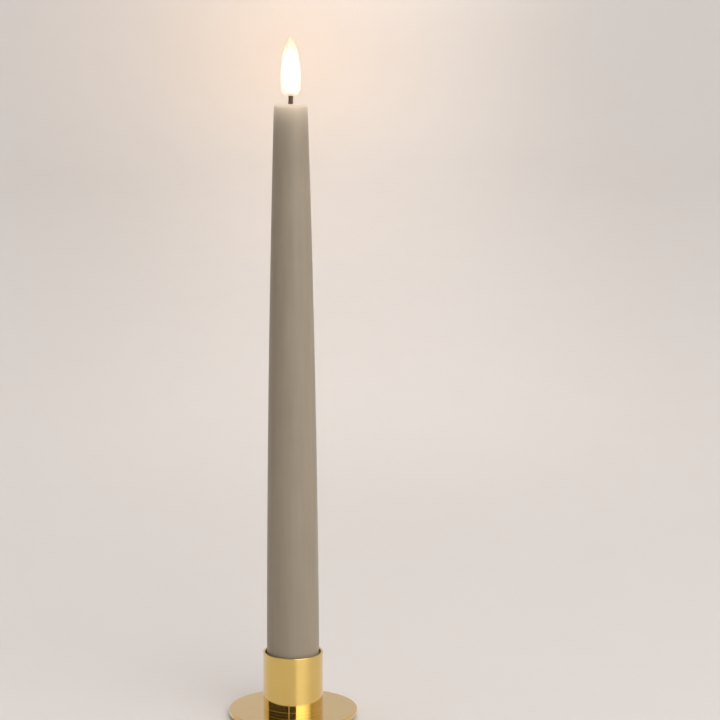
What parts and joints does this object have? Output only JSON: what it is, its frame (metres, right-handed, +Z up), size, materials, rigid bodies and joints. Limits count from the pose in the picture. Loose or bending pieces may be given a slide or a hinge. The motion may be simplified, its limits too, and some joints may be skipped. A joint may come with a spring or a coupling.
{
  "type": "flameless led taper candle",
  "caption": "Tapered wax-coated LED candle with a glowing flame on a short wick, a pull-out battery tray and a timer switch, standing in a brass cup holder.",
  "frame": {"origin": "centre of the felt pad's underside, where the holder rests on the table", "axes": "+Z up along the candle's axis; -Y towards the viewer; +X along the switch knob's travel"},
  "size_m": [0.0544, 0.0544, 0.287],
  "materials": {
    "felt": "short dark felt",
    "brass": "polished, clear lacquered",
    "steel": "bright zinc plated",
    "cap_plastic": "moulded, fine texture",
    "tray_plastic": "moulded, satin",
    "rubber_ring": "smooth",
    "board_green": "solder-masked glass board",
    "chip_black": "moulded epoxy",
    "resistor_body": "glazed thick film",
    "switch_case": "stamped, tinned",
    "knob_black": "moulded",
    "contact_nickel": "nickel-plated strip",
    "cell_jacket": "shrink-wrapped can, unmarked",
    "wax": "dyed paraffin, soft sheen",
    "tube_plastic": "moulded, satin",
    "wire_red": "extruded insulation",
    "wire_black": "extruded insulation",
    "wick_brown": "matt, lightly ribbed",
    "lamp_epoxy": "clear epoxy over phosphor",
    "flame_plastic": "translucent, frosted inside"
  },
  "bodies": {
    "holder": {"felt_pad": "felt", "base_plate": "brass", "cup_floor": "brass", "cup_tube": "brass", "cup_screw": "steel"},
    "tray": {"end_cap": "cap_plastic", "battery_tray": "tray_plastic", "seal_ring": "rubber_ring", "cap_screws": "steel", "timer_board": "board_green", "timer_chip": "chip_black", "board_resistors": "resistor_body", "switch_housing": "switch_case", "positive_contact": "contact_nickel", "battery_lower": "cell_jacket", "battery_upper": "cell_jacket", "battery_spring": "contact_nickel", "ground_strip": "contact_nickel", "led_strip": "contact_nickel"},
    "switch": {"switch_knob": "knob_black"},
    "shell": {"wax_shell": "wax", "inner_tube": "tube_plastic", "contact_board": "board_green", "red_wire": "wire_red", "black_wire": "wire_black", "top_plug": "tube_plastic", "wick_tube": "wick_brown", "led_lamp": "lamp_epoxy", "flame_lens": "flame_plastic"}
  },
  "joints": [
    {"name": "candle_lift", "type": "slide", "parent": "holder", "child": "tray", "axis": [0, 0, 1], "range_m": [0, 0.04]},
    {"name": "shell_pull", "type": "slide", "parent": "tray", "child": "shell", "axis": [0, 0, 1], "range_m": [0, 0.115]},
    {"name": "switch_slide", "type": "slide", "parent": "tray", "child": "switch", "axis": [1, 0, 0], "range_m": [-0.002, 0.002]}
  ]
}
